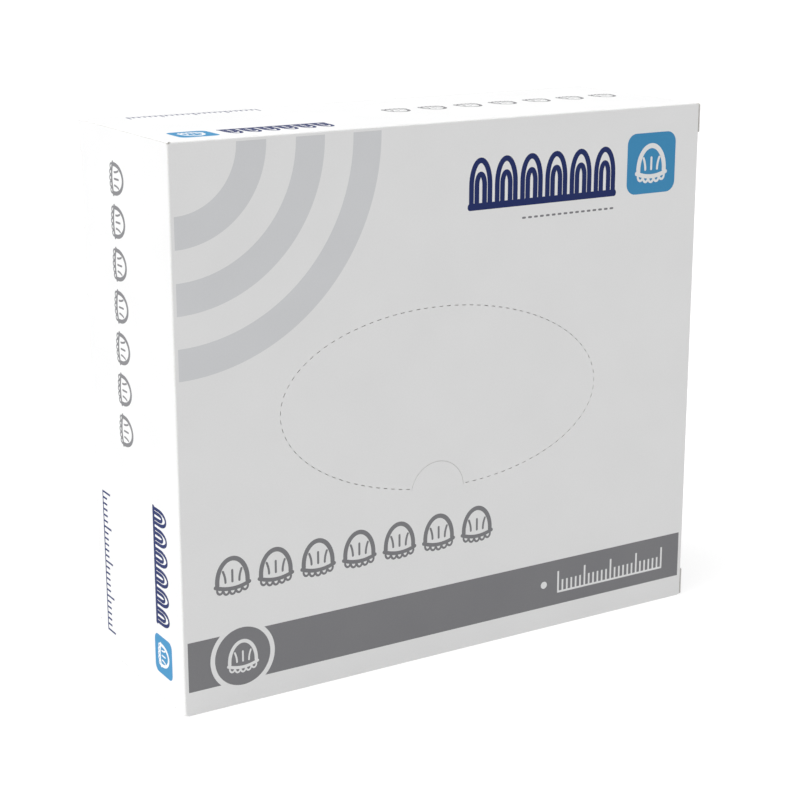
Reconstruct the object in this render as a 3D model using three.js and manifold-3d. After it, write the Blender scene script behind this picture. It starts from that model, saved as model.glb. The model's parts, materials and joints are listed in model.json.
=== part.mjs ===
// A folding carton of clay-coated board, closed at both ends by tuck-in lids (a reverse tuck end
// carton), with a perforated tear-out oval and a thumb tab in its front wall.
// Millimetres, +Z up, the front faces -Y, the origin is the middle of the base.
import * as THREE from 'three';
import { mergeVertices } from 'three/addons/utils/BufferGeometryUtils.js';
import Module from 'manifold-3d';

// Driving dimensions of the closed carton
const WIDTH = 260;
const DEPTH = 89;
const HEIGHT = 235;
const BOARD = 0.6;
const GAP = 0.3;
const FOLD_INSIDE = 0.2;
const FOLD_STEPS = 5;

// Glue flap: it hangs on the back wall and is glued to the inside of the bottom
const GLUE_WIDTH = 16;
const GLUE_END = 115;
const GLUE_TAPER = 4;

// Lid, tongue and slit locks at each end
const LID_SHORT = 0.4;
const SLIT = 12.7;
const TONGUE_LENGTH = 19;
const TONGUE_ROUND = 14;
const TONGUE_LEAN = 7.5;

// Dust flap at the top and bottom of each end
const DUST_LENGTH = 60;
const DUST_SIDE = 0.9;
const DUST_SHOULDER = 11;
const DUST_STEP = 3.4;
const DUST_TAPER = 5;
const DUST_CHAMFER = 10;

// Tear-out oval in the front wall, turned a little clockwise
const OVAL = { x: -4.8, z: 117.6, halfWidth: 79.3, halfHeight: 39.9, tilt: -3.2 };
const PERF_PITCH = 3.8;
const PERF_CUT = 2.1;
const PERF_WIDTH = 0.27;

// Thumb tab: most of a half-disc, standing in the oval on its lower edge
const THUMB = { across: -1.3, radius: 13.3, sunk: 1.5 };

const COATED = new THREE.MeshStandardMaterial({ color: 0xf3f3f1, roughness: 0.55, metalness: 0 });
const UNCOATED = new THREE.MeshStandardMaterial({ color: 0xc9c3b6, roughness: 0.85, metalness: 0 });

const wasm = await Module();
wasm.setup();

const radians = (degrees) => THREE.MathUtils.degToRad(degrees);
const point = (a, b) => new THREE.Vector2(a, b);

// A closed geometry as a solid that can be joined and cut
function toSolid(geometry) {
  const bare = geometry.clone();
  bare.deleteAttribute('normal');
  bare.deleteAttribute('uv');
  const merged = mergeVertices(bare, 1e-4);
  return new wasm.Manifold(new wasm.Mesh({
    numProp: 3,
    vertProperties: new Float32Array(merged.attributes.position.array),
    triVerts: new Uint32Array(merged.index.array),
  }));
}

// A solid as a geometry for a mesh
function toGeometry(solid) {
  const mesh = solid.getMesh();
  const geometry = new THREE.BufferGeometry();
  geometry.setAttribute('position', new THREE.BufferAttribute(mesh.vertProperties, 3));
  geometry.setIndex(new THREE.BufferAttribute(mesh.triVerts, 1));
  geometry.computeVertexNormals();
  return geometry;
}

// The directions of an outline's two axes and of its thickness: outlines seen from the end, from
// the front (the thickness then runs towards -Y) and from above
const FROM_END = [[0, 1, 0], [0, 0, 1], [1, 0, 0]];
const FROM_FRONT = [[1, 0, 0], [0, 0, 1], [0, -1, 0]];
const FROM_ABOVE = [[1, 0, 0], [0, 1, 0], [0, 0, 1]];

// An outline made thick from one level to another along the third direction given
function plate(outline, directions, from, to) {
  const shape = outline instanceof THREE.Shape ? outline : new THREE.Shape(outline);
  const geometry = new THREE.ExtrudeGeometry(shape, {
    depth: to - from,
    bevelEnabled: false,
    curveSegments: 16,
  });
  geometry.translate(0, 0, from);
  const axes = directions.map((axis) => new THREE.Vector3(...axis));
  return geometry.applyMatrix4(new THREE.Matrix4().makeBasis(...axes));
}

// Points on an arc about a centre, both ends included, angles in degrees
function arc(a, b, radius, start, end, steps) {
  return Array.from({ length: steps + 1 }, (_, i) => {
    const angle = radians(start + ((end - start) * i) / steps);
    return point(a + radius * Math.cos(angle), b + radius * Math.sin(angle));
  });
}

// Sections of the board tube in the YZ plane: the outside, and the inside with the glue flap
function tubeOutside() {
  const radius = FOLD_INSIDE + BOARD;
  const y = DEPTH / 2 - radius;
  const low = radius;
  const high = HEIGHT - radius;
  return [
    point(y, 0),
    ...arc(y, low + BOARD, radius, -90, 0, FOLD_STEPS),
    ...arc(y, high, radius, 0, 90, FOLD_STEPS),
    ...arc(-y, high, radius, 90, 180, FOLD_STEPS),
    ...arc(-y, low, radius, 180, 270, FOLD_STEPS),
  ];
}

function tubeInside() {
  const y = DEPTH / 2 - BOARD - FOLD_INSIDE;
  const low = BOARD + FOLD_INSIDE;
  const high = HEIGHT - BOARD - FOLD_INSIDE;
  const glueEdge = DEPTH / 2 - GLUE_WIDTH;
  return [
    point(glueEdge, BOARD),
    point(glueEdge, 2 * BOARD),
    ...arc(y, low + BOARD, FOLD_INSIDE, -90, 0, FOLD_STEPS),
    ...arc(y, high, FOLD_INSIDE, 0, 90, FOLD_STEPS),
    ...arc(-y, high, FOLD_INSIDE, 90, 180, FOLD_STEPS),
    ...arc(-y, low, FOLD_INSIDE, 180, 270, FOLD_STEPS),
  ];
}

// Where the tube's walls end behind the lid, and how far a mitred edge stands back from its corner
const WALL_END = WIDTH / 2 - BOARD - GAP;
const MITRE = GAP / Math.SQRT2;

// What is cut off the tube at its left end: the front wall keeps a mitred edge where the lid
// hangs on it, and the other walls stop behind the lid
function endWaste() {
  const beyond = 10;
  const corner = -DEPTH / 2;
  const mitreEnd = WIDTH / 2 - WALL_END - MITRE;
  return plate([
    point(-WIDTH / 2 + MITRE - beyond, corner - beyond),
    point(-WALL_END, corner + mitreEnd),
    point(-WALL_END, DEPTH / 2 + beyond),
    point(-WIDTH / 2 - 2 * beyond, DEPTH / 2 + beyond),
    point(-WIDTH / 2 - 2 * beyond, corner - beyond),
  ], FROM_ABOVE, -beyond, HEIGHT + beyond);
}

// What is cut off the glue flap, with a slanted end, at one end of the tube
function glueWaste(side) {
  const fold = DEPTH / 2 - BOARD - FOLD_INSIDE - GAP;
  const edge = DEPTH / 2 - GLUE_WIDTH;
  return plate([
    point(side * (GLUE_END - GLUE_TAPER), edge - 1),
    point(side * GLUE_END, fold),
    point(side * WIDTH, fold),
    point(side * WIDTH, edge - 1),
  ], FROM_ABOVE, BOARD, 2 * BOARD + FOLD_INSIDE / 10);
}

// The oval's own frame: origin at its centre, turned by its tilt, facing out of the front wall
function placeInOval(object, across = 0, up = 0, turn = 0) {
  const tilt = radians(OVAL.tilt);
  object.position.set(
    OVAL.x + across * Math.cos(tilt) - up * Math.sin(tilt),
    -DEPTH / 2,
    OVAL.z + across * Math.sin(tilt) + up * Math.cos(tilt),
  );
  object.rotation.y = -(tilt + turn);
  object.updateMatrix();
  return object;
}

// The thumb tab's outline on its base line, grown outwards by a margin
function thumbOutline(margin) {
  const radius = THUMB.radius + margin;
  const start = THREE.MathUtils.radToDeg(Math.asin((THUMB.sunk - margin) / radius));
  return arc(0, -THUMB.sunk, radius, start, 180 - start, 18);
}

// The slits of the perforated line, evenly spaced by arc length round the oval, from one end of
// the thumb tab's cut to the other
function perforations() {
  const steps = 4000;
  const middle = -Math.PI / 2 + THUMB.across / OVAL.halfWidth;
  const start = middle + THUMB.radius / OVAL.halfWidth;
  const end = middle + 2 * Math.PI - THUMB.radius / OVAL.halfWidth;
  const track = [];
  let run = 0;
  for (let i = 0; i <= steps; i += 1) {
    const angle = start + ((end - start) * i) / steps;
    const a = OVAL.halfWidth * Math.cos(angle);
    const b = OVAL.halfHeight * Math.sin(angle);
    if (i > 0) run += Math.hypot(a - track[i - 1].a, b - track[i - 1].b);
    track.push({ a, b, run });
  }
  const count = Math.round(run / PERF_PITCH);
  const slits = [];
  let i = 0;
  for (let slit = 0; slit < count; slit += 1) {
    const along = ((slit + 0.5) * run) / count;
    while (track[i].run < along) i += 1;
    const turn = Math.atan2(track[i].b - track[i - 1].b, track[i].a - track[i - 1].a);
    slits.push({ a: track[i].a, b: track[i].b, turn });
  }
  return slits;
}

function perforationCut({ a, b, turn }) {
  const cut = new THREE.BoxGeometry(PERF_CUT, 4 * BOARD, PERF_WIDTH);
  return cut.applyMatrix4(placeInOval(new THREE.Object3D(), a, b, turn).matrix);
}

// The hole that the thumb tab stands in
function thumbHole() {
  const hole = plate(thumbOutline(GAP / 2), FROM_FRONT, -2 * BOARD, 2 * BOARD);
  return hole.applyMatrix4(placeInOval(new THREE.Object3D(), THUMB.across, -OVAL.halfHeight).matrix);
}

// The tube of board: front, top, back and bottom walls in one piece with the glue flap
function makeSleeve() {
  const section = new THREE.Shape(tubeOutside());
  section.holes.push(new THREE.Path(tubeInside()));
  const waste = [
    endWaste(),
    endWaste().rotateZ(Math.PI),
    glueWaste(-1),
    glueWaste(1),
    thumbHole(),
    ...perforations().map(perforationCut),
  ];
  let tube = toSolid(plate(section, FROM_END, -WIDTH / 2, WIDTH / 2));
  for (const cut of waste) tube = tube.subtract(toSolid(cut));
  return new THREE.Mesh(toGeometry(tube), COATED);
}

// The half-disc that the thumb pushes in, hinged on its base line
function makeThumbTab() {
  const tab = plate(thumbOutline(-GAP / 2), FROM_FRONT, -BOARD, 0);
  return placeInOval(new THREE.Mesh(tab, COATED), THUMB.across, -OVAL.halfHeight);
}

// Heights of the slits that part the tongue from the lid's ears
const SLIT_LOW = LID_SHORT + SLIT;
const SLIT_HIGH = HEIGHT - SLIT_LOW;

// The left end's lid, from its mitred edge on the front left corner to the two ears that stand
// over the back wall's edge, with the crease of the tongue between them
function makeLid() {
  const wall = toSolid(plate([
    point(0, MITRE),
    point(BOARD, BOARD + MITRE),
    point(BOARD, DEPTH),
    point(0, DEPTH),
  ], FROM_ABOVE, LID_SHORT, HEIGHT - LID_SHORT));
  const crease = DEPTH - BOARD - GAP;
  const recess = toSolid(plate([
    point(-BOARD, crease),
    point(2 * BOARD, crease),
    point(2 * BOARD, DEPTH + BOARD),
    point(-BOARD, DEPTH + BOARD),
  ], FROM_ABOVE, SLIT_LOW, SLIT_HIGH));
  const lid = new THREE.Mesh(toGeometry(wall.subtract(recess)), COATED);
  lid.position.set(-WIDTH / 2, -DEPTH / 2, 0);
  return lid;
}

// The left lid's tongue, tucked inside the back wall and leaning off it, with rounded corners
function makeTongue() {
  const root = GAP / 2;
  const low = SLIT_LOW + GAP;
  const high = SLIT_HIGH - GAP;
  const inset = TONGUE_LENGTH - TONGUE_ROUND;
  const outline = [
    point(root, low),
    ...arc(inset, low + TONGUE_ROUND, TONGUE_ROUND, -90, 0, 10),
    ...arc(inset, high - TONGUE_ROUND, TONGUE_ROUND, 0, 90, 10),
    point(root, high),
  ];
  const tongue = new THREE.Mesh(plate(outline, FROM_FRONT, -BOARD, 0), COATED);
  tongue.position.set(-WALL_END - GAP / 2, DEPTH / 2 - 2 * BOARD - GAP, 0);
  tongue.rotation.z = -radians(TONGUE_LEAN);
  return tongue;
}

// A dust flap of the left end, hinged on the top wall (level 1) or the bottom wall (level -1). Its
// shoulder by the crease meets the lid's slit, and the rest stands back to let the tongue past.
function makeDustFlap(level) {
  const side = DEPTH / 2 - BOARD - DUST_SIDE;
  const step = side - DUST_STEP;
  const outline = [
    [-side, GAP / 2],
    [side, GAP / 2],
    [side, DUST_SHOULDER],
    [step, DUST_SHOULDER + DUST_STEP],
    [step - DUST_TAPER, DUST_LENGTH],
    [-side + DUST_CHAMFER, DUST_LENGTH],
    [-side, DUST_LENGTH - DUST_CHAMFER],
  ].map(([y, down]) => point(y, -level * down));
  const flap = new THREE.Mesh(plate(outline, FROM_END, -BOARD, 0), UNCOATED);
  const crease = HEIGHT / 2 - BOARD - GAP / 2;
  flap.position.set(-WALL_END + BOARD, 0, HEIGHT / 2 + level * crease);
  return flap;
}

// What closes one end, as it stands at the left end
function makeEnd(side) {
  const pieces = {
    lid: makeLid(),
    tongue: makeTongue(),
    dust_top: makeDustFlap(1),
    dust_bottom: makeDustFlap(-1),
  };
  const end = new THREE.Group();
  for (const [piece, mesh] of Object.entries(pieces)) {
    mesh.name = `${side}_${piece}`;
    end.add(mesh);
  }
  return end;
}

const carton = new THREE.Group();

const sleeve = makeSleeve();
sleeve.name = 'sleeve';
carton.add(sleeve);

const thumbTab = makeThumbTab();
thumbTab.name = 'thumb_tab';
carton.add(thumbTab);

// The right end is the left one turned half round: its lid hangs on the back right corner and its
// tongue tucks in behind the front wall
carton.add(makeEnd('left'));
const rightEnd = makeEnd('right');
rightEnd.rotation.z = Math.PI;
carton.add(rightEnd);

export default carton;
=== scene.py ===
import json
import math

import bpy
import numpy as np
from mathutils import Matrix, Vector
from mathutils.geometry import delaunay_2d_cdt


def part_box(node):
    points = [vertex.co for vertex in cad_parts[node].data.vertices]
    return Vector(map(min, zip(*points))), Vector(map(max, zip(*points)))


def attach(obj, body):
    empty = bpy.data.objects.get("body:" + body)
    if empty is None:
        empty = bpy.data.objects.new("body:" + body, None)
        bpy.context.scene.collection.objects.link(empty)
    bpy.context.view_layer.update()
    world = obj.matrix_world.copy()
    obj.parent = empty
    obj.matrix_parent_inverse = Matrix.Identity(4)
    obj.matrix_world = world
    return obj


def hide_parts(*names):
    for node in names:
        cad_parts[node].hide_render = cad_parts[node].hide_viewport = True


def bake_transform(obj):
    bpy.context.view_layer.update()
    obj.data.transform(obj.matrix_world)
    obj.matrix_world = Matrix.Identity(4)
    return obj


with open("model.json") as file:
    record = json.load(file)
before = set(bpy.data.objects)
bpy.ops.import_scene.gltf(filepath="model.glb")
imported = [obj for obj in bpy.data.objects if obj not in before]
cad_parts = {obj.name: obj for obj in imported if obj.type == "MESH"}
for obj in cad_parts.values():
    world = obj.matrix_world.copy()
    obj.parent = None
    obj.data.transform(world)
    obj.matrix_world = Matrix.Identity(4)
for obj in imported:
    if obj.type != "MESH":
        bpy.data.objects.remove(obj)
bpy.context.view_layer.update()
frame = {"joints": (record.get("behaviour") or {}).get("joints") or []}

MM = 0.001


def box_in_mm(node):
    """A node's lowest and highest corners at rest, in millimetres."""
    low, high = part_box(node)
    return np.array(low) / MM, np.array(high) / MM


def joint_place(name):
    """Where a joint's upright axis stands, seen from above, in millimetres."""
    joint = next(joint for joint in frame["joints"] if joint["name"] == name)
    return np.array(joint["pos_m"][:2]) / MM


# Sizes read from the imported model
SLEEVE_HIGH = box_in_mm("sleeve")[1]
LID_LOW, LID_HIGH = box_in_mm("left_lid")
TONGUE_LOW, TONGUE_HIGH = box_in_mm("left_tongue")
FLAP_LOW, FLAP_HIGH = box_in_mm("left_dust_top")
HALF_WIDTH = -LID_LOW[0]
HALF_DEPTH = SLEEVE_HIGH[1]
HEIGHT = SLEEVE_HIGH[2]
BOARD = LID_HIGH[0] - LID_LOW[0]
WALL_END = -FLAP_LOW[0]

# Folds: each turns on an inner radius, and its run is measured along the printed face. Its wear
# reaches a little beside it, and a notch frees its end where two walls meet
FOLD_INSIDE = 0.2
FOLD = FOLD_INSIDE + BOARD
FOLD_RUN = FOLD * math.pi / 2
FOLD_STEPS = 6
FOLD_BESIDE = 1.6
FOLD_NOTCH = 0.3
FLAT_Y = HALF_DEPTH - FOLD
FLAT_HIGH = HEIGHT - FOLD

# Lid, tongue and slit locks. The lid widens by a small step beside its crease
LID_LOWEST = LID_LOW[2]
LID_HIGHEST = LID_HIGH[2]
LID_STEP = 0.4
SLIT = 12.7
SLIT_LOW = LID_LOWEST + SLIT
SLIT_HIGH = LID_HIGHEST - SLIT
TONGUE_LEAN = 7.5
TONGUE_TURN = 90 + TONGUE_LEAN
TONGUE_RUN = FOLD * math.radians(TONGUE_TURN)
TONGUE_LENGTH = 19
TONGUE_ROUND = 14
EAR_ROUND = 0.8

# The tongue's fold circle touches the lid's outer face and the tongue's, which lies one board
# outside the joint's axis: its centre is found from both
TONGUE_AXIS = joint_place("left_tongue_fold")
OUTWARDS = np.array([math.sin(math.radians(TONGUE_LEAN)), math.cos(math.radians(TONGUE_LEAN))])
ALONG = np.array([OUTWARDS[1], -OUTWARDS[0]])
TONGUE_FOLD_Y = (TONGUE_AXIS @ OUTWARDS + BOARD - FOLD
                 - (FOLD - HALF_WIDTH) * OUTWARDS[0]) / OUTWARDS[1]
TONGUE_START = np.array([FOLD - HALF_WIDTH, TONGUE_FOLD_Y]) + FOLD * OUTWARDS
TONGUE_FLAT = TONGUE_LENGTH - (TONGUE_START - TONGUE_AXIS) @ ALONG

# Dust flaps
FLAP_HALF = FLAP_HIGH[1]
FLAP_FLAT = FLAT_HIGH - FLAP_LOW[2]
FLAP_SHOULDER = 11
FLAP_STEP = 3.4
FLAP_TAPER = 5
FLAP_CHAMFER = 10
FLAP_FOLD_X = WALL_END - FOLD

# Glue flap inside the bottom. The lift keeps its printed face just off the bottom wall's bare one
GLUE_WIDTH = 16
GLUE_FLAT = GLUE_WIDTH - FOLD
GLUE_END = 115
GLUE_TAPER = 4
GLUE_LIFT = 0.02

# Tear-out oval and thumb tab in the front wall. The tab's circle has its centre a little below
# the tab's base line, with a narrow strip over that line
OVAL_X = -4.8
OVAL_Z = 117.6
OVAL_HALF_WIDTH = 79.3
OVAL_HALF_HEIGHT = 39.9
OVAL_TILT = math.radians(-3.2)
PERF_PITCH = 3.8
PERF_CUT = 2.1
PERF_WIDTH = 0.27
THUMB_ACROSS = -1.3
THUMB_RADIUS = 13.3
THUMB_SUNK = 1.5
THUMB_GAP = 0.12
THUMB_STRIP = 0.9

# How far the empty carton's walls sink in at the middle
WALL_SINK = 0.3
TOP_SINK = 0.15

# Spacing of the points inside the flat board
GRID = 6.0

# Where each wall's flat part starts on the blank. The front's run starts at the carton's base
FRONT_RUN = 2 * FLAT_Y + FOLD_RUN - FOLD
TOP_RUN = FRONT_RUN + FLAT_HIGH + FOLD_RUN
BACK_RUN = TOP_RUN + 2 * FLAT_Y + FOLD_RUN
BACK_FLAT = FLAT_HIGH - FOLD - BOARD
GLUE_RUN = BACK_RUN + BACK_FLAT + FOLD_RUN

# Print on the front and back walls, from the middle of the wall's lower edge: the grey band, the
# ring on it, and the corner where the quarter rings start
BAND_LOW = 10.5
BAND_HIGH = 32.1
BAND_END = 127.3
RING_ACROSS = -103.4
RING_UP = 21.3
CORNER_LEFT = -128.1
CORNER_UP = 233.5

# Patterns in the board, in millimetres: clouds in its tone, the crackle of a worn fold, and the
# width of a fleck of recycled fibre, with that width as a share of its length
CLOUD = 30.0
CRACK = 0.7
FLECK = 0.625
FLECK_ASPECT = 0.45

# Light tent: full up to one height and dim from another, as sines of the angle over the horizon
TENT_FULL_TO = 0.24
TENT_DIM_FROM = 0.42
TENT_DIM = 0.08

# Surfaces of the board, in the order of their material slots
PLAIN, GREY, PALE, BLUE, NAVY, INSIDE, EDGE = range(7)


# Flat shapes

def bar(left, right, low, high, rounding=0.0, steps=5):
    """A rectangle whose corners are quarter circles of the rounding, taken counter-clockwise."""
    if rounding <= 0:
        return np.array([(left, low), (right, low), (right, high), (left, high)], float)
    turn = np.linspace(0, math.pi / 2, steps + 1)
    corner = np.stack([np.cos(turn), np.sin(turn)], axis=1) * rounding
    centres = [(right - rounding, high - rounding), (left + rounding, high - rounding),
               (left + rounding, low + rounding), (right - rounding, low + rounding)]
    quarter = np.array([[0, 1], [-1, 0]])
    loops = []
    for centre in centres:
        loops.append(corner + centre)
        corner = corner @ quarter
    return np.concatenate(loops)


def disc(across, up, radius, steps):
    """A circle as a loop of evenly turned points."""
    turn = np.arange(steps) * 2 * math.pi / steps
    return np.stack([across + radius * np.cos(turn), up + radius * np.sin(turn)], axis=1)


def arc(across, up, radius_across, radius_up, start, end, steps):
    """Points on part of an ellipse, from one angle to another in degrees, both ends included."""
    turn = np.radians(np.linspace(start, end, steps + 1))
    return np.stack([across + radius_across * np.cos(turn), up + radius_up * np.sin(turn)], axis=1)


def stroke(points, width, round_steps=5):
    """The outline of a pen line: its points moved half a width to the right, a half circle round
    the far end, the points moved to the left on the way back, and a half circle round the start."""
    points = np.asarray(points, float)
    along = np.gradient(points, axis=0)
    along /= np.linalg.norm(along, axis=1)[:, None]
    side = np.stack([-along[:, 1], along[:, 0]], axis=1)
    half = width / 2
    turn = np.linspace(0, math.pi, round_steps + 2)[1:-1, None]
    far = points[-1] + half * (np.sin(turn) * along[-1] - np.cos(turn) * side[-1])
    near = points[0] - half * (np.sin(turn) * along[0] - np.cos(turn) * side[0])
    return np.concatenate([points - half * side, far, (points + half * side)[::-1], near])


def moved(shapes, across=0.0, up=0.0, turn=0.0, size=1.0):
    """Shapes scaled, turned by degrees and moved: each point p goes to size R p + (across, up)."""
    angle = math.radians(turn)
    cos, sin = math.cos(angle), math.sin(angle)
    matrix = size * np.array([[cos, sin], [-sin, cos]])
    return [(ink, [loop @ matrix + (across, up) for loop in loops]) for ink, loops in shapes]


# Printed motifs

# A print is a list of (ink, loops). A point is printed if an odd number of the loops holds it, and
# later shapes lie over earlier ones

def cap_motif(ink, line):
    """A gathered round cap drawn in lines, about 16 mm wide and high. Its crown is just over half
    of an ellipse. Its elastic is a parabola, up = low + bow (across / half)^2, with scallops under
    it for the frill. Three pleats rise inside the crown, the outer two leaning outwards by the
    square of their height."""
    crown_foot = 5.6
    crown_half = 7.5
    crown_height = 10.4
    elastic_low = 2.7
    elastic_half = 7.3
    bow = 1.5
    frill_low = 2.1
    frill_half = 5.4
    scallop_half = 1.25
    scallop_drop = 1.7
    pleat_height = 4.6
    thin = line * 0.5

    crown = arc(0, crown_foot, crown_half - line / 2, crown_height - line / 2, start=-4, end=184, steps=48)
    across = np.linspace(-elastic_half, elastic_half, 25)
    elastic = np.stack([across, elastic_low + bow * (across / elastic_half) ** 2], axis=1)
    shapes = [(ink, [stroke(crown, line)]), (ink, [stroke(elastic, line * 0.85)])]
    for middle in np.linspace(-frill_half, frill_half, 5):
        height = frill_low + bow * (middle / elastic_half) ** 2
        scallop = arc(middle, height, scallop_half, scallop_drop, start=180, end=360, steps=12)
        shapes.append((ink, [stroke(scallop, thin)]))
    rise = np.linspace(0, 1, 9)
    for foot, lean in ((-3.0, -1.0), (0.0, 0.0), (3.0, 1.0)):
        pleat = np.stack([foot + lean * rise ** 2, crown_foot + pleat_height * rise], axis=1)
        shapes.append((ink, [stroke(pleat, thin)]))
    return shapes


def cap_row(ink, line, count, pitch, size):
    """Evenly spaced caps along a line, starting at the origin."""
    shapes = []
    for number in range(count):
        shapes += moved(cap_motif(ink, line), across=number * pitch, size=size)
    return shapes


def ruffle_motif(ink, line, arches, width, height):
    """A frill on its band: a bar, and round arches side by side on it, each with a second, smaller
    arch inside it. An arch is half an ellipse on two legs."""
    half_gap = 0.35
    knee = height * 0.2
    spring = height * 0.45
    shapes = [(ink, [bar(0, width, -line * 0.4, line * 0.6, rounding=line * 0.4, steps=3)])]
    pitch = width / arches
    outer = (pitch - line) / 2 - half_gap
    for number in range(arches):
        middle = (number + 0.5) * pitch
        for scale in (1.0, 0.42):
            half = outer * scale
            rise = height * 0.5 * scale + line * 0.1
            right_leg = [(middle + half, 0.0), (middle + half, knee)]
            top = arc(middle, spring, half, rise, start=0, end=180, steps=20)
            left_leg = [(middle - half, knee), (middle - half, 0.0)]
            arch = np.concatenate([right_leg, top, left_leg])
            shapes.append((ink, [stroke(arch, line * 0.8)]))
    return shapes


def stitch_row(ink, line, count, width):
    """A dashed line: short strokes, each filling the same share of the pitch."""
    pitch = width / count
    filled = 0.64
    return [(ink, [bar(number * pitch, (number + filled) * pitch, -line / 2, line / 2,
                       rounding=line * 0.4, steps=2)])
            for number in range(count)]


def ruler_motif(ink, line, marks, width, height):
    """A measuring scale: a base line and upright marks, every sixth mark longer."""
    long_every = 6
    short = height * 0.58
    shapes = [(ink, [bar(-line / 2, width + line / 2, 0, line, rounding=line * 0.3, steps=2)])]
    for mark in range(marks + 1):
        middle = mark * width / marks
        reach = height if mark % long_every == 0 else short
        shapes.append((ink, [bar(middle - line / 2, middle + line / 2, line, reach)]))
    return shapes


def badge_motif(ink, half):
    """A rounded square of ink with a bare cap inside, which grows and shrinks with the square."""
    half_at_full_size = 12.2
    drop = half * 0.66
    square = [(ink, [bar(-half, half, -half, half, rounding=half * 0.36, steps=8)])]
    return square + moved(cap_motif(PLAIN, line=2.0), up=-drop, size=half / half_at_full_size)


def corner_bands(ink, across, up, widest, band, gap, count):
    """Quarter rings about a panel's upper left corner, each a band wide with a gap between."""
    shapes = []
    for number in range(count):
        outer = widest - number * (band + gap)
        inner = outer - band
        outer_arc = arc(across, up, outer, outer, start=270, end=360, steps=36)
        inner_arc = arc(across, up, inner, inner, start=270, end=360, steps=30)
        shapes.append((ink, [np.concatenate([outer_arc, inner_arc[::-1]])]))
    return shapes


# Walls of the sleeve on the flat blank

def on_front(points):
    """The front wall's (across, up) on the blank: run = front's start + up."""
    return points + (0.0, FRONT_RUN)


def on_top(points):
    """The top wall's (across, up) about its middle on the blank: run = the middle's + up."""
    return points + (0.0, TOP_RUN + FLAT_Y)


def on_back(points):
    """The back wall's (across, up), seen from behind, on the blank: x = -across, and the run falls
    as up rises."""
    return (0.0, BACK_RUN + FLAT_HIGH) - points


def printed(shapes, wall):
    """A print with each of its loops put on a wall of the blank."""
    return [(ink, [wall(loop) for loop in loops]) for ink, loops in shapes]


# Bending the flat board

def travelled(distance, angle, bend):
    """How far a path gets along and up over a distance d, from an angle a and with a bend b in
    radians per millimetre: d (cos a, sin a) with no bend, and otherwise
    (sin(a + b d) - sin a, cos a - cos(a + b d)) / b."""
    if bend == 0:
        return np.stack([distance * math.cos(angle), distance * math.sin(angle)], axis=-1)
    return np.stack([np.sin(angle + bend * distance) - math.sin(angle),
                     math.cos(angle) - np.cos(angle + bend * distance)], axis=-1) / bend


def bent_path(run, start, heading, steps):
    """Points at given runs along a path. A step (length, turn) goes straight when its turn is 0,
    and otherwise round a circle whose arc of that length turns the heading by those degrees. The
    first step also runs backwards from the start, and the last one goes on for ever."""
    run = np.asarray(run, float)
    points = np.zeros(run.shape + (2,))
    corner = np.array(start, float)
    angle = math.radians(heading)
    begin = 0.0
    for number, (length, turn) in enumerate(steps):
        bend = math.radians(turn) / length
        chosen = run >= begin if number else np.ones(run.shape, bool)
        points[chosen] = corner + travelled(run[chosen] - begin, angle, bend)
        corner = corner + travelled(np.float64(length), angle, bend)
        angle += math.radians(turn)
        begin += length
    return points


# Steps round the sleeve's section: bottom, front, top, back and glue flap, with a fold between each
WRAP = [(2 * FLAT_Y, 0), (FOLD_RUN, -90), (FLAT_HIGH - FOLD, 0), (FOLD_RUN, -90),
        (2 * FLAT_Y, 0), (FOLD_RUN, -90), (BACK_FLAT, 0), (FOLD_RUN, -90), (GLUE_FLAT, 0)]


def hump(value, low, high):
    """Half a sine wave from low to high, and nothing outside."""
    return np.sin(math.pi * np.clip((value - low) / (high - low), 0, 1))


def place_sleeve(flat):
    """The blank wrapped into a tube: the run turns a quarter circle at each corner, and the front,
    top and back walls sink inwards by a sine hump in both directions."""
    across, run = flat[:, 0], flat[:, 1]
    section = bent_path(run, (FLAT_Y, 0), 180, WRAP)
    points = np.stack([across, section[:, 0], section[:, 1]], axis=1)
    sideways = hump(across, -WALL_END, WALL_END)
    front = hump(run, FRONT_RUN + FOLD, FRONT_RUN + FLAT_HIGH)
    back = hump(run, BACK_RUN, BACK_RUN + BACK_FLAT)
    points[:, 1] += WALL_SINK * sideways * (front - back)
    points[:, 2] -= TOP_SINK * sideways * hump(run, TOP_RUN, TOP_RUN + 2 * FLAT_Y)
    points[:, 2] += GLUE_LIFT * (run > GLUE_RUN)
    return points


def place_front(flat):
    """The front wall's own surface, for what is cut out of it."""
    return place_sleeve(on_front(flat))


def place_lid(flat):
    """The left lid: round the front left corner from the front wall, then straight to the back."""
    run = FLAT_Y + FOLD_RUN - flat[:, 0]
    steps = [(FOLD_RUN, -90), (2 * FLAT_Y, 0)]
    section = bent_path(run, (FOLD - HALF_WIDTH, -HALF_DEPTH), 180, steps)
    return np.stack([section[:, 0], section[:, 1], flat[:, 1]], axis=1)


def place_tongue(flat):
    """The left tongue: round its crease at the lid's far edge, then straight, leaning inwards."""
    run = -TONGUE_FOLD_Y - flat[:, 0]
    steps = [(TONGUE_RUN, -TONGUE_TURN), (TONGUE_FLAT, 0)]
    section = bent_path(run, (-HALF_WIDTH, TONGUE_FOLD_Y), 90, steps)
    return np.stack([section[:, 0], section[:, 1], flat[:, 1]], axis=1)


def place_top_flap(flat):
    """The left upper dust flap: round its crease at the top wall's end, then straight down."""
    run = FLAT_HIGH + FOLD_RUN - flat[:, 1]
    section = bent_path(run, (-FLAP_FOLD_X, HEIGHT), 180, [(FOLD_RUN, 90), (FLAP_FLAT, 0)])
    return np.stack([section[:, 0], -flat[:, 0], section[:, 1]], axis=1)


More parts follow.
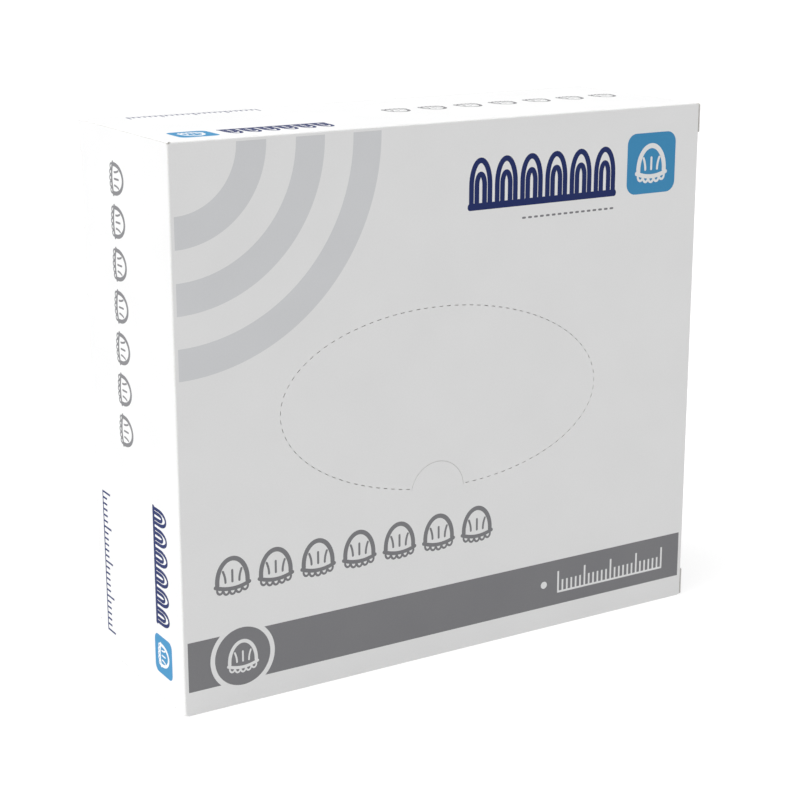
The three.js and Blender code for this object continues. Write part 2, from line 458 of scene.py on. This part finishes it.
def place_bottom_flap(flat):
    """The left lower dust flap: round its crease at the bottom wall's end, then straight up."""
    run = flat[:, 1] + FOLD_RUN - FOLD
    section = bent_path(run, (-FLAP_FOLD_X, 0), 180, [(FOLD_RUN, -90), (FLAP_FLAT, 0)])
    return np.stack([section[:, 0], -flat[:, 0], section[:, 1]], axis=1)


def at_end(place, sign):
    """A surface of the left end as it is, for a sign of 1, or turned half round the upright axis
    to the right end, for -1."""
    return lambda flat: place(flat) * (sign, sign, 1)


# Cutting and printing the flat board

def counter_clockwise(loop):
    """The loop in counter-clockwise order: its area is half the sum of x1 z2 - x2 z1 over its
    sides, and a negative one means that it has to be turned round."""
    ahead = np.roll(loop, -1, axis=0)
    area = np.sum(loop[:, 0] * ahead[:, 1] - ahead[:, 0] * loop[:, 1])
    return loop if area > 0 else loop[::-1]


def grid_points(outline, step):
    """A square grid of points over the outline's box, one step inside it."""
    low = outline.min(axis=0)
    high = outline.max(axis=0)
    counts = np.maximum(((high - low) / step).astype(int), 1)
    across = low[0] + np.arange(1, counts[0]) * (high[0] - low[0]) / counts[0]
    up = low[1] + np.arange(1, counts[1]) * (high[1] - low[1]) / counts[1]
    return np.stack(np.meshgrid(across, up), axis=-1).reshape(-1, 2)


def cut_board(outline, holes, prints, rows):
    """The flat board in triangles: a Delaunay triangulation that keeps the outline, the holes, the
    edges of the print and the fold rows. Gives points, triangles and each triangle's ink, which is
    that of the last shape of the print with an odd number of loops round it."""
    loops = [counter_clockwise(loop) for loop in [outline, *holes]]
    first_print = len(loops)
    owner = []
    for number, (ink, shape) in enumerate(prints):
        loops += [counter_clockwise(loop) for loop in shape]
        owner += [number] * len(shape)
    starts = np.cumsum([0] + [len(loop) for loop in loops])
    faces = [list(range(start, end)) for start, end in zip(starts[:-1], starts[1:])]
    points = list(loops)
    edges = []
    count = int(starts[-1])
    for row in rows:
        points.append(row)
        edges += [(count + i, count + i + 1) for i in range(len(row) - 1)]
        count += len(row)
    points.append(grid_points(outline, GRID))

    keep_inside = 1
    same_point = 1e-5
    name_sources = True
    corners, _, cuts, _, _, loops_around = delaunay_2d_cdt(
        np.concatenate(points).tolist(), edges, faces, keep_inside, same_point, name_sources)
    flat = np.array(corners)
    triangles = []
    inks = []
    for triangle, around in zip(cuts, loops_around):
        if 0 not in around or any(0 < loop < first_print for loop in around):
            continue
        shapes = [owner[loop - first_print] for loop in around if loop >= first_print]
        printing = [shape for shape in shapes if shapes.count(shape) % 2]
        triangles.append(triangle)
        inks.append(prints[max(printing)][0] if printing else PLAIN)
    used, triangles = np.unique(np.array(triangles), return_inverse=True)
    return flat[used], triangles.reshape(-1, 3), np.array(inks)


def surface_normals(flat, place):
    """Unit normals of a bent board: the cross product of its two directions, each taken as the
    difference of two close points."""
    close = 0.01
    across = place(flat + (close, 0)) - place(flat - (close, 0))
    up = place(flat + (0, close)) - place(flat - (0, close))
    normals = np.cross(across, up)
    return normals / np.linalg.norm(normals, axis=1)[:, None]


def make_board(name, place, outline, holes=(), prints=(), rows=(), wear=None):
    """One piece of board: its printed face on the bent surface, its bare face one thickness behind
    along the normals, and raw edges round its outline and holes. Each point keeps its place on the
    flat board and its depth, for the materials, and how worn its coating is."""
    flat, triangles, inks = cut_board(outline, holes, prints, rows)
    normals = surface_normals(flat, place)
    outer = place(flat)
    points = np.concatenate([outer, outer - BOARD * normals])

    # A side of a triangle lies on the rim if no other triangle has it the other way round
    count = len(flat)
    sides = np.concatenate([triangles[:, [0, 1]], triangles[:, [1, 2]], triangles[:, [2, 0]]])
    keys = sides[:, 0].astype(np.int64) * count + sides[:, 1]
    back_keys = sides[:, 1].astype(np.int64) * count + sides[:, 0]
    rim = sides[~np.isin(keys, back_keys)]
    inner = triangles[:, ::-1] + count
    quads = np.stack([rim[:, 0], rim[:, 0] + count, rim[:, 1] + count, rim[:, 1]], axis=1)

    mesh = bpy.data.meshes.new(name)
    faces = triangles.tolist() + inner.tolist() + quads.tolist()
    mesh.from_pydata((points * MM).tolist(), [], faces)
    slots = np.concatenate([inks, np.full(len(inner), INSIDE), np.full(len(quads), EDGE)])
    surfaces, indices = np.unique(slots, return_inverse=True)
    for surface in surfaces:
        mesh.materials.append(FINISHES[surface])
    mesh.polygons.foreach_set("material_index", indices.astype(np.int32))
    mesh.polygons.foreach_set("use_smooth", np.ones(len(slots), bool))
    edge_normals = np.cross(points[quads[:, 1]] - points[quads[:, 0]],
                            points[quads[:, 3]] - points[quads[:, 0]])
    edge_normals /= np.linalg.norm(edge_normals, axis=1)[:, None]
    corner_normals = np.concatenate([normals[triangles].reshape(-1, 3),
                                     -normals[triangles[:, ::-1]].reshape(-1, 3),
                                     np.repeat(edge_normals, 4, axis=0)])
    mesh.normals_split_custom_set(corner_normals.tolist())

    depth = np.repeat([0.0, BOARD], count)
    sheet = np.column_stack([np.tile(flat, (2, 1)), depth])
    mesh.attributes.new("sheet", "FLOAT_VECTOR", "POINT").data.foreach_set("vector", sheet.ravel())
    worn = wear(flat) if wear else np.zeros(count)
    mesh.attributes.new("wear", "FLOAT", "POINT").data.foreach_set("value", np.tile(worn, 2))
    board = bpy.data.objects.new(name, mesh)
    bpy.context.scene.collection.objects.link(board)
    return board


# Materials

# The sockets of a Mix node that hold its two colours and its result
MIX_FIRST, MIX_SECOND, MIX_RESULT = 6, 7, 2

# What shows through the cracks of a worn fold: chalky coating, or ink with the coating in it
CHALK = "#D6D3CC"
SCUFFED_INK = "#B5B3AE"


def srgb(colour):
    """A hex colour as linear red, green, blue and alpha."""
    values = [int(colour[i:i + 2], 16) / 255 for i in (1, 3, 5)]
    return [v / 12.92 if v <= 0.04045 else ((v + 0.055) / 1.055) ** 2.4 for v in values] + [1.0]


def add_node(tree, kind, inputs=None, **settings):
    """Adds a node with its settings, and fills or links its inputs."""
    made = tree.nodes.new(kind)
    for setting, value in settings.items():
        setattr(made, setting, value)
    for socket, value in (inputs or {}).items():
        if isinstance(value, bpy.types.NodeSocket):
            tree.links.new(value, made.inputs[socket])
        else:
            made.inputs[socket].default_value = value
    return made


def board_finish(name, colour, dark, roughness, wear_colour=None, fleck_colour=None, grain=0.8,
                 relief=0.02):
    """A face of board: wide clouds and a fine mottle between two close colours, a roughness that
    follows the mottle and a slight relief, with the grain and the relief in millimetres. Where the
    coating is worn the wear colour shows in cracks, and recycled pulp holds flecks about 1 mm long."""
    material = bpy.data.materials.new(name)
    material.use_nodes = True
    tree = material.node_tree
    tree.nodes.clear()
    place = add_node(tree, "ShaderNodeAttribute", attribute_name="sheet").outputs["Vector"]
    cloud = add_node(tree, "ShaderNodeTexNoise", {"Vector": place, "Scale": 1 / CLOUD, "Detail": 2.0})
    fine = add_node(tree, "ShaderNodeTexNoise", {"Vector": place, "Scale": 1 / grain, "Detail": 4.0})
    both = add_node(tree, "ShaderNodeMath", {0: cloud.outputs["Fac"], 1: fine.outputs["Fac"]},
                    operation="ADD")
    mottle = add_node(tree, "ShaderNodeMapRange", {
        "Value": both.outputs[0], "From Min": 0.7, "From Max": 1.3})
    tone = add_node(tree, "ShaderNodeMix", {
        "Factor": mottle.outputs[0], MIX_FIRST: srgb(dark), MIX_SECOND: srgb(colour)},
        data_type="RGBA").outputs[MIX_RESULT]
    if wear_colour:
        worn = add_node(tree, "ShaderNodeAttribute", attribute_name="wear").outputs["Fac"]
        crack = add_node(tree, "ShaderNodeTexNoise", {"Vector": place, "Scale": 1 / CRACK, "Detail": 3.0})
        share = add_node(tree, "ShaderNodeMath", {0: worn, 1: crack.outputs["Fac"]},
                         operation="MULTIPLY")
        bare = add_node(tree, "ShaderNodeMapRange", {
            "Value": share.outputs[0], "From Min": 0.5, "From Max": 0.72, "To Max": 0.6})
        tone = add_node(tree, "ShaderNodeMix", {
            "Factor": bare.outputs[0], MIX_FIRST: tone, MIX_SECOND: srgb(wear_colour)},
            data_type="RGBA").outputs[MIX_RESULT]
    if fleck_colour:
        fibres = add_node(tree, "ShaderNodeMapping", {"Vector": place, "Scale": (FLECK_ASPECT, 1.0, 1.0)})
        bits = add_node(tree, "ShaderNodeTexNoise", {
            "Vector": fibres.outputs[0], "Scale": 1 / FLECK, "Detail": 1.5})
        fleck = add_node(tree, "ShaderNodeMapRange", {
            "Value": bits.outputs["Fac"], "From Min": 0.62, "From Max": 0.7, "To Max": 0.45})
        tone = add_node(tree, "ShaderNodeMix", {
            "Factor": fleck.outputs[0], MIX_FIRST: tone, MIX_SECOND: srgb(fleck_colour)},
            data_type="RGBA").outputs[MIX_RESULT]
    rough = add_node(tree, "ShaderNodeMapRange", {
        "Value": fine.outputs["Fac"], "From Min": 0.3, "From Max": 0.7,
        "To Min": roughness - 0.04, "To Max": roughness + 0.06})
    bump = add_node(tree, "ShaderNodeBump", {
        "Height": fine.outputs["Fac"], "Strength": 0.35, "Distance": relief * MM})
    shader = add_node(tree, "ShaderNodeBsdfPrincipled", {
        "Base Color": tone, "Roughness": rough.outputs[0], "Normal": bump.outputs[0], "IOR": 1.48,
        "Specular IOR Level": 0.15})
    add_node(tree, "ShaderNodeOutputMaterial", {"Surface": shader.outputs[0]})
    return material


FINISHES = {
    # Clay-coated, calendered face: white, satin, with a faint mottle, chalky where a fold cracks it
    PLAIN: board_finish("clay_coated_board", "#DEDEDE", "#DBDBDB", roughness=0.58, wear_colour=CHALK),
    # Offset inks: a thin even film, a little glossier than the coating under them
    GREY: board_finish("offset_grey_ink", "#7B7B7D", "#77777A", roughness=0.55, wear_colour=SCUFFED_INK),
    PALE: board_finish("offset_pale_grey_tint", "#CACBCD", "#C7C8CA", roughness=0.57, wear_colour=CHALK),
    BLUE: board_finish("offset_blue_ink", "#3E87B3", "#3A83AF", roughness=0.55, wear_colour=SCUFFED_INK),
    NAVY: board_finish("offset_navy_ink", "#1D2A5E", "#192659", roughness=0.55, wear_colour=SCUFFED_INK),
    # Uncoated back of recycled pulp: dull grey-beige, rough and cloudy, with short dark flecks
    INSIDE: board_finish("uncoated_pulp_back", "#C2BEB5", "#B9B4AA", roughness=0.85,
                         fleck_colour="#77736B", grain=0.5, relief=0.05),
    # Die-cut edge: matt pulp, torn a little by the knife
    EDGE: board_finish("die_cut_edge", "#D1D0CE", "#C7C6C3", roughness=0.9, grain=0.2, relief=0.06),
}


# Folds

def fold_rows(low, high, begin, length, upright=False):
    """Straight rows of points from low to high, which keep a fold round: at even steps through the
    fold, and one on each side of it."""
    levels = np.concatenate([[begin - FOLD_BESIDE], np.linspace(begin, begin + length, FOLD_STEPS + 1),
                             [begin + length + FOLD_BESIDE]])
    along = np.linspace(low, high, max(int((high - low) / GRID), 1) + 1)
    rows = [np.stack([along, np.full(len(along), level)], axis=1) for level in levels]
    return [row[:, ::-1] for row in rows] if upright else rows


def wear_near(levels, half, axis):
    """Wear of the coating as a function of the flat point: 1 within half a fold of the given
    levels, and falling evenly to nothing beside it."""
    def wear(flat):
        away = np.abs(flat[:, axis][:, None] - np.array(levels)[None, :]).min(axis=1)
        return np.clip(1 - (away - half) / FOLD_BESIDE, 0, 1)
    return wear


def fold_ends(centre, first, second, axes, sign):
    """Where a fold starts and ends on its inner face, in metres: one inner radius from the fold's
    centre in each of two directions, turned half round the upright axis for a sign of -1."""
    ends = []
    for direction in (first, second):
        point = np.zeros(3)
        point[list(axes)] = np.array(centre) + FOLD_INSIDE * np.array(direction)
        ends.append(tuple(point * (sign, sign, 1) * MM))
    return ends


# Sleeve and thumb tab

def oval_frame(points):
    """Points in the oval's own frame turned by its tilt and moved onto the front wall."""
    cos, sin = math.cos(OVAL_TILT), math.sin(OVAL_TILT)
    return points @ np.array([[cos, sin], [-sin, cos]]) + (OVAL_X, OVAL_Z)


def thumb_outline(margin):
    """The thumb tab's round edge, grown by a margin: the part of its circle over the base line,
    which starts where the sine of the angle is the centre's depth over the radius."""
    radius = THUMB_RADIUS + margin
    centre_up = -OVAL_HALF_HEIGHT - THUMB_SUNK
    start = math.degrees(math.asin(THUMB_SUNK / radius))
    return oval_frame(arc(THUMB_ACROSS, centre_up, radius, radius, start, 180 - start, steps=40))


def perforations():
    """Slits at even arc lengths round the oval, from one end of the thumb tab to the other. Each is
    a thin bar with pointed ends, bent at its middle to follow the oval."""
    track_steps = 4000
    middle = -math.pi / 2 + THUMB_ACROSS / OVAL_HALF_WIDTH
    reach = THUMB_RADIUS / OVAL_HALF_WIDTH
    turn = np.linspace(middle + reach, middle + 2 * math.pi - reach, track_steps + 1)
    track = np.stack([OVAL_HALF_WIDTH * np.cos(turn), OVAL_HALF_HEIGHT * np.sin(turn)], axis=1)
    run = np.concatenate([[0], np.cumsum(np.linalg.norm(np.diff(track, axis=0), axis=1))])
    count = round(run[-1] / PERF_PITCH)
    slits = []
    for number in range(count):
        at = (number + 0.5) * run[-1] / count
        runs = [at - PERF_CUT / 2, at, at + PERF_CUT / 2]
        start, centre, end = np.stack([np.interp(runs, run, track[:, i]) for i in (0, 1)], axis=1)
        along = (end - start) / PERF_CUT
        side = np.array([-along[1], along[0]]) * PERF_WIDTH / 2
        near = start + along * PERF_WIDTH
        far = end - along * PERF_WIDTH
        slits.append(oval_frame(np.array([start, near - side, centre - side, far - side,
                                          end, far + side, centre + side, near + side])))
    return slits


def blank_end(front_end, back_end):
    """One end of the blank, along each wall in turn, for the places where the front and back walls
    end there. Between two walls a small notch frees the end of the fold."""
    flap = FLAP_FOLD_X
    notch = FLAP_FOLD_X - FOLD_NOTCH
    slack = FLAT_Y - FLAP_HALF
    half_fold = FOLD_RUN / 2
    front_low = FRONT_RUN + FOLD
    front_high = FRONT_RUN + FLAT_HIGH
    back_low = BACK_RUN + BACK_FLAT
    return [(flap, slack), (flap, 2 * FLAT_Y - slack), (notch, front_low - half_fold),
            (front_end, front_low), (front_end, front_high), (notch, front_high + half_fold),
            (flap, TOP_RUN + slack), (flap, TOP_RUN + 2 * FLAT_Y - slack), (notch, BACK_RUN - half_fold),
            (back_end, BACK_RUN), (back_end, back_low), (notch, back_low + half_fold),
            (notch, GLUE_RUN), (GLUE_END, GLUE_RUN), (GLUE_END - GLUE_TAPER, GLUE_RUN + GLUE_FLAT)]


def sleeve_outline():
    """The blank's outline: along its right end, and back along its left one. A lid hangs from the
    front wall's left end and from the back wall's right end, at their creases."""
    crease = HALF_WIDTH - FOLD
    notch = FLAP_FOLD_X - FOLD_NOTCH
    right = [(notch, 0)] + blank_end(WALL_END, crease)
    left = [(notch, 0)] + blank_end(crease, WALL_END)
    return np.concatenate([np.array(right, float), np.array(left, float)[::-1] * (-1, 1)])


def main_wall_print(with_corner):
    """The print of the front and back walls: a grey band with a ringed cap, a dot and a measuring
    scale, a row of caps above it, and at the top a blue badge beside a navy frill over a dashed
    line. The front has quarter rings in its upper left corner too."""
    left = CORNER_LEFT if with_corner else -BAND_END
    shapes = []
    if with_corner:
        shapes += corner_bands(PALE, left, CORNER_UP, widest=92.0, band=13.0, gap=13.0, count=3)
    shapes.append((GREY, [bar(left, BAND_END, BAND_LOW, BAND_HIGH)]))
    shapes.append((PLAIN, [disc(RING_ACROSS, RING_UP, radius=14.8, steps=64)]))
    shapes.append((GREY, [disc(RING_ACROSS, RING_UP, radius=12.7, steps=64)]))
    shapes += moved(cap_motif(PLAIN, line=1.7), across=RING_ACROSS, up=14.0, size=0.92)
    shapes += moved(cap_row(GREY, line=1.9, count=7, pitch=19.9, size=1.05), across=-107.3, up=49.0)
    shapes.append((PLAIN, [disc(across=49.0, up=21.2, radius=1.7, steps=24)]))
    shapes += moved(ruler_motif(PLAIN, line=0.95, marks=24, width=60.0, height=10.5), across=57.0, up=16.0)
    shapes += moved(badge_motif(BLUE, half=13.5), across=103.0, up=209.9)
    shapes += moved(ruffle_motif(NAVY, line=3.0, arches=6, width=78.0, height=20.5), across=5.7, up=198.0)
    shapes += moved(stitch_row(GREY, line=0.9, count=16, width=50.0), across=33.6, up=191.5)
    return shapes


def top_print():
    """The print of the top wall, which is read from behind the carton."""
    shapes = moved(cap_row(GREY, line=1.9, count=7, pitch=18.6, size=0.8), across=-111.0, up=-8.0)
    shapes += moved(badge_motif(BLUE, half=8.5), across=111.0, up=27.0)
    shapes += moved(ruffle_motif(NAVY, line=1.9, arches=6, width=49.0, height=13.0), across=49.0, up=20.5)
    shapes += moved(ruler_motif(NAVY, line=0.8, marks=24, width=60.0, height=6.0), across=52.0, up=-36.5)
    return moved(shapes, turn=180)


def make_sleeve():
    """The four walls and the glue flap, folded from one blank, with the oval's slits, the cut round
    the thumb tab, and the print of three walls."""
    folds = [2 * FLAT_Y, FRONT_RUN + FLAT_HIGH, TOP_RUN + 2 * FLAT_Y, BACK_RUN + BACK_FLAT]
    reach = FLAP_FOLD_X - FOLD_NOTCH
    rows = []
    for begin in folds:
        rows += fold_rows(-reach, reach, begin, FOLD_RUN)
    holes = [on_front(hole) for hole in perforations() + [thumb_outline(THUMB_GAP / 2)]]
    prints = printed(main_wall_print(with_corner=True), on_front)
    prints += printed(main_wall_print(with_corner=False), on_back)
    prints += printed(top_print(), on_top)
    wear = wear_near([begin + FOLD_RUN / 2 for begin in folds], FOLD_RUN / 2, axis=1)
    sleeve = make_board("sleeve_board", place_sleeve, sleeve_outline(), holes, prints, rows, wear)
    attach(sleeve, "sleeve")
    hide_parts("sleeve")


def make_thumb_tab():
    """The half-round tab that the thumb pushes in."""
    tab = make_board("thumb_tab_board", place_front, thumb_outline(-THUMB_GAP / 2))
    base = oval_frame(np.array([(THUMB_ACROSS, -OVAL_HALF_HEIGHT),
                                (THUMB_ACROSS, THUMB_STRIP - OVAL_HALF_HEIGHT)]))
    [tuple(point * MM) for point in place_front(base)]
    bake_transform(tab)
    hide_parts("thumb_tab")


# Ends of the carton, worked out at the left end; the right end is the same, turned half round

def side_print():
    """The print of a lid, read with the carton on its other end: a column of caps, with a scale, a
    frill and a badge below it."""
    caps = cap_row(GREY, line=1.9, count=7, pitch=17.6, size=0.9)
    scale = ruler_motif(NAVY, line=0.9, marks=24, width=64.0, height=8.5)
    frill = ruffle_motif(NAVY, line=1.9, arches=6, width=52.0, height=12.5)
    badge = badge_motif(BLUE, half=8.5)
    shapes = moved(caps, across=-13.0, up=214.5, turn=-90)
    shapes += moved(scale, across=-35.5, up=75.0, turn=-90)
    shapes += moved(frill, across=19.0, up=84.5, turn=-90)
    shapes += moved(badge, across=24.5, up=19.5, turn=-90)
    return shapes


def lid_outline():
    """The crease at the front corner, the lid, and two ears with rounded corners at its far edge,
    past the two slits in which the tongue locks."""
    hinge = FLAT_Y + FOLD_RUN
    ear = EAR_ROUND - HALF_DEPTH
    low = arc(ear, LID_LOWEST + EAR_ROUND, EAR_ROUND, EAR_ROUND, start=180, end=270, steps=4)
    high = arc(ear, LID_HIGHEST - EAR_ROUND, EAR_ROUND, EAR_ROUND, start=90, end=180, steps=4)
    return np.concatenate([
        [(hinge, FOLD), (hinge, FLAT_HIGH), (FLAT_Y, FLAT_HIGH), (FLAT_Y - LID_STEP, LID_HIGHEST)], high,
        [(-HALF_DEPTH, SLIT_HIGH), (-TONGUE_FOLD_Y, SLIT_HIGH), (-TONGUE_FOLD_Y, SLIT_LOW),
         (-HALF_DEPTH, SLIT_LOW)], low,
        [(FLAT_Y - LID_STEP, LID_LOWEST), (FLAT_Y, FOLD)]])


def make_lid(side, sign):
    """A lid, joined to its wall by a crease round the corner. The fold row that would lie past its
    outline is left out."""
    rows = fold_rows(FOLD, FLAT_HIGH, FLAT_Y, FOLD_RUN, upright=True)[:-1]
    wear = wear_near([FLAT_Y + FOLD_RUN / 2, -TONGUE_FOLD_Y], FOLD_RUN / 2, axis=0)
    lid = make_board(side + "_lid_board", at_end(place_lid, sign), lid_outline(),
                     prints=side_print(), rows=rows, wear=wear)
    centre = (FOLD - HALF_WIDTH, -FLAT_Y)
    start, end = fold_ends(centre, (0, -1), (-1, 0), (0, 1), sign)
    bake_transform(lid)
    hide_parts(side + "_lid")


def make_tongue(side, sign):
    """A tongue with rounded corners, joined to its lid by a crease between the two slits. The fold
    rows that would lie on or past its root are left out."""
    low = TONGUE_LOW[2]
    high = TONGUE_HIGH[2]
    root = -TONGUE_FOLD_Y
    far = root - TONGUE_RUN - TONGUE_FLAT
    corner = far + TONGUE_ROUND
    upper = arc(corner, high - TONGUE_ROUND, TONGUE_ROUND, TONGUE_ROUND, start=90, end=180, steps=16)
    lower = arc(corner, low + TONGUE_ROUND, TONGUE_ROUND, TONGUE_ROUND, start=180, end=270, steps=16)
    outline = np.concatenate([[(root, low), (root, high)], upper, lower])
    rows = fold_rows(low, high, root - TONGUE_RUN, TONGUE_RUN, upright=True)[:-2]
    wear = wear_near([root - TONGUE_RUN / 2], TONGUE_RUN / 2, axis=0)
    tongue = make_board(side + "_tongue_board", at_end(place_tongue, sign), outline, rows=rows, wear=wear)
    last = math.radians(TONGUE_TURN)
    centre = (FOLD - HALF_WIDTH, TONGUE_FOLD_Y)
    start, end = fold_ends(centre, (-1, 0), (-math.cos(last), math.sin(last)), (0, 1), sign)
    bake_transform(tongue)
    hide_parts(side + "_tongue")


def make_dust_flap(side, level, sign):
    """A dust flap: its tuck side steps back past a shoulder and tapers, its other corner is cut.
    The fold rows that would lie on or past its root are left out."""
    half = FLAP_HALF
    step = half - FLAP_STEP
    down = np.array([(half, 0), (half, FLAP_FLAT - FLAP_CHAMFER), (half - FLAP_CHAMFER, FLAP_FLAT),
                     (FLAP_TAPER - step, FLAP_FLAT), (-step, FLAP_SHOULDER + FLAP_STEP),
                     (-half, FLAP_SHOULDER), (-half, 0), (-half, -FOLD_RUN), (half, -FOLD_RUN)])
    if level == "top":
        place = place_top_flap
        outline = down * (1, -1) + (0, FLAT_HIGH)
        fold = FLAT_HIGH
        rows = fold_rows(-half, half, fold, FOLD_RUN)[:-2]
        centre = (-FLAP_FOLD_X, FLAT_HIGH)
        wall_side = (0, 1)
    else:
        place = place_bottom_flap
        outline = down + (0, FOLD)
        fold = FOLD - FOLD_RUN
        rows = fold_rows(-half, half, fold, FOLD_RUN)[2:]
        centre = (-FLAP_FOLD_X, FOLD)
        wall_side = (0, -1)
    wear = wear_near([fold + FOLD_RUN / 2], FOLD_RUN / 2, axis=1)
    body = side + "_dust_" + level
    flap = make_board(body + "_board", at_end(place, sign), outline, rows=rows, wear=wear)
    start, end = fold_ends(centre, wall_side, (-1, 0), (0, 2), sign)
    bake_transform(flap)
    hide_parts(body)


make_sleeve()
make_thumb_tab()
for side, sign in (("left", 1), ("right", -1)):
    make_lid(side, sign)
    make_tongue(side, sign)
    make_dust_flap(side, "top", sign)
    make_dust_flap(side, "bottom", sign)


# Floor, light and camera

def lit_table_finish():
    """White acrylic, frosted and lit evenly from below: it lifts the shadows on it."""
    material = bpy.data.materials.new("frosted_acrylic_table")
    material.use_nodes = True
    shader = material.node_tree.nodes["Principled BSDF"]
    shader.inputs["Base Color"].default_value = srgb("#7C7C7C")
    shader.inputs["Roughness"].default_value = 0.9
    shader.inputs["Specular IOR Level"].default_value = 0.1
    shader.inputs["Emission Color"].default_value = srgb("#FFFFFF")
    shader.inputs["Emission Strength"].default_value = 0.85
    return material


def make_floor():
    """A wide flat square, a hair's breadth under the carton so that the two faces don't meet."""
    half = 12.0
    under = -0.05 * MM
    corners = [(-half, -half, under), (half, -half, under), (half, half, under), (-half, half, under)]
    mesh = bpy.data.meshes.new("studio_floor")
    mesh.from_pydata(corners, [], [(0, 1, 2, 3)])
    mesh.materials.append(lit_table_finish())
    floor = bpy.data.objects.new("studio_floor", mesh)
    bpy.context.scene.collection.objects.link(floor)


def make_world():
    """White light from all round, as in a light tent: full at the horizon and dim overhead."""
    world = bpy.data.worlds.new("light_tent")
    world.use_nodes = True
    tree = world.node_tree
    tree.nodes.clear()
    direction = add_node(tree, "ShaderNodeTexCoord").outputs["Generated"]
    height = add_node(tree, "ShaderNodeSeparateXYZ", {"Vector": direction}).outputs["Z"]
    level = add_node(tree, "ShaderNodeMapRange", {
        "Value": height, "From Min": TENT_FULL_TO, "From Max": TENT_DIM_FROM,
        "To Min": 1.0, "To Max": TENT_DIM})
    tent = add_node(tree, "ShaderNodeBackground", {"Color": srgb("#FFFFFF"), "Strength": level.outputs[0]})
    add_node(tree, "ShaderNodeOutputWorld", {"Surface": tent.outputs[0]})
    bpy.context.scene.world = world
    bpy.context.scene.view_settings.view_transform = "Standard"


def make_light(name, towards, spread, strength):
    """A far, broad light: parallel on the whole, soft by its spread in degrees. Its direction goes
    from the carton towards it."""
    lamp = bpy.data.lights.new(name, "SUN")
    lamp.angle = math.radians(spread)
    lamp.energy = strength
    light = bpy.data.objects.new(name, lamp)
    light.rotation_euler = (-Vector(towards)).to_track_quat("-Z", "Y").to_euler()
    bpy.context.scene.collection.objects.link(light)


def make_camera():
    """The photograph's viewpoint: its direction, distance, lens and small shift."""
    azimuth = math.radians(-31.45)
    elevation = math.radians(14.64)
    back = Vector((math.sin(azimuth) * math.cos(elevation), -math.cos(azimuth) * math.cos(elevation),
                   math.sin(elevation)))
    lens = bpy.data.cameras.new("camera")
    lens.sensor_width = 36.0
    lens.lens = 81.96
    lens.shift_x = -0.0044
    lens.shift_y = -0.0373
    camera = bpy.data.objects.new("camera", lens)
    camera.location = (-0.4105, -0.6735, 0.3251)
    camera.rotation_euler = (-back).to_track_quat("-Z", "Y").to_euler()
    bpy.context.scene.collection.objects.link(camera)
    bpy.context.scene.camera = camera


make_floor()
make_world()
make_light("key_light", towards=(-0.42, 0.04, 0.91), spread=50.0, strength=4.4)
make_camera()
